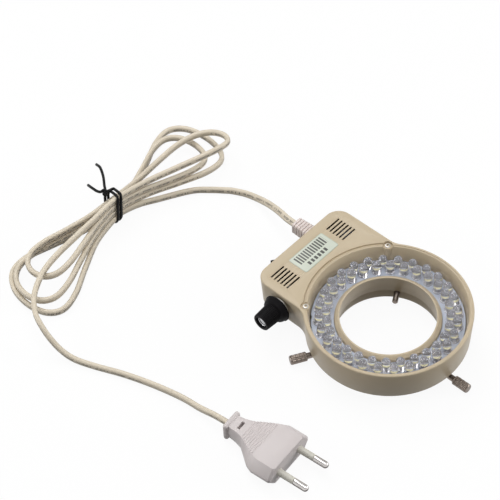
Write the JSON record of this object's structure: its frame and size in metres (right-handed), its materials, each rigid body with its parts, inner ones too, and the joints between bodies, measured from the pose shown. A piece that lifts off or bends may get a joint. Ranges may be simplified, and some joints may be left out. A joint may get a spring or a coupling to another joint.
{
  "type": "microscope ring light",
  "caption": "Ring of clear LEDs in a moulded housing with a collar and thumbscrews for a microscope, a driver box with dimmer knob and switch, and a mains cord tied in a hank.",
  "frame": {"origin": "centre of the bore in the plane of the mounting collar's lower face", "axes": "+Z along the bore to the LED side, +Y from the bore to the driver box and its cord gland"},
  "size_m": [0.1829, 0.2659, 0.0282],
  "materials": {
    "housing_plastic": "fine satin moulding, warm beige",
    "screw_steel": "plain bright steel",
    "led_board": "pale board with clear domed LEDs",
    "driver_board": "green board",
    "film_capacitor": "yellow box",
    "electrolytic_sleeve": "dark sleeve",
    "rectifier_epoxy": "black epoxy",
    "resistor_coating": "blue coating",
    "potentiometer_case": "plated sheet",
    "black_plastic": "satin black",
    "silver_insert": "spun disc",
    "gland_plastic": "soft moulding",
    "thumbscrew_nickel": "knurled, dull nickel plate",
    "label_foil": "pale foil",
    "cord_sheath": "smooth cream sheath",
    "tie_plastic": "black coated wire",
    "plug_plastic": "satin moulding, pale pinkish grey",
    "pin_sleeve_plastic": "grey insulating sleeve",
    "pin_nickel": "bright nickel plate"
  },
  "bodies": {
    "light": {"housing": "housing_plastic", "base_cover": "housing_plastic", "mount_collar": "housing_plastic", "cover_screw_1": "screw_steel", "cover_screw_2": "screw_steel", "base_screw_1": "screw_steel", "base_screw_2": "screw_steel", "base_screw_3": "screw_steel", "collar_screw_1": "screw_steel", "collar_screw_2": "screw_steel", "collar_screw_3": "screw_steel", "dimmer_washer": "screw_steel", "dimmer_nut": "screw_steel", "led_board": "led_board", "driver_board": "driver_board", "film_capacitor": "film_capacitor", "electrolytic_capacitor": "electrolytic_sleeve", "bridge_rectifier": "rectifier_epoxy", "series_resistor": "resistor_coating", "potentiometer": "potentiometer_case", "switch_body": "black_plastic", "cord_gland": "gland_plastic", "label": "label_foil", "cord_lead": "cord_sheath", "cord_hank": "cord_sheath", "cord_tail": "cord_sheath", "hank_tie": "tie_plastic", "plug_body": "plug_plastic", "pin_sleeve_1": "pin_sleeve_plastic", "pin_sleeve_2": "pin_sleeve_plastic", "plug_pin_1": "pin_nickel", "plug_pin_2": "pin_nickel"},
    "dimmer": {"dimmer_knob": "black_plastic", "knob_insert": "silver_insert", "dimmer_shaft": "screw_steel"},
    "rocker": {"switch_rocker": "black_plastic"},
    "front_thumbscrew": {"thumbscrew_front": "thumbscrew_nickel"},
    "right_thumbscrew": {"thumbscrew_right": "thumbscrew_nickel"},
    "left_thumbscrew": {"thumbscrew_left": "thumbscrew_nickel"}
  },
  "joints": [
    {"name": "dimmer_turn", "type": "hinge", "parent": "light", "child": "dimmer", "pos_m": [-0.03245, 0.051, 0.0183], "axis": [-1, 0, 0], "range_deg": [-150, 150]},
    {"name": "switch_rock", "type": "hinge", "parent": "light", "child": "rocker", "pos_m": [-0.0095, 0.07107, 0.0181], "axis": [0, 0, 1], "range_deg": [0, 20]},
    {"name": "front_clamp", "type": "slide", "parent": "light", "child": "front_thumbscrew", "axis": [0, 1, 0], "range_m": [-0.007, 0.008]},
    {"name": "right_clamp", "type": "slide", "parent": "light", "child": "right_thumbscrew", "axis": [-0.866, -0.5, 0], "range_m": [-0.007, 0.008]},
    {"name": "left_clamp", "type": "slide", "parent": "light", "child": "left_thumbscrew", "axis": [0.866, -0.5, 0], "range_m": [-0.007, 0.008]}
  ]
}
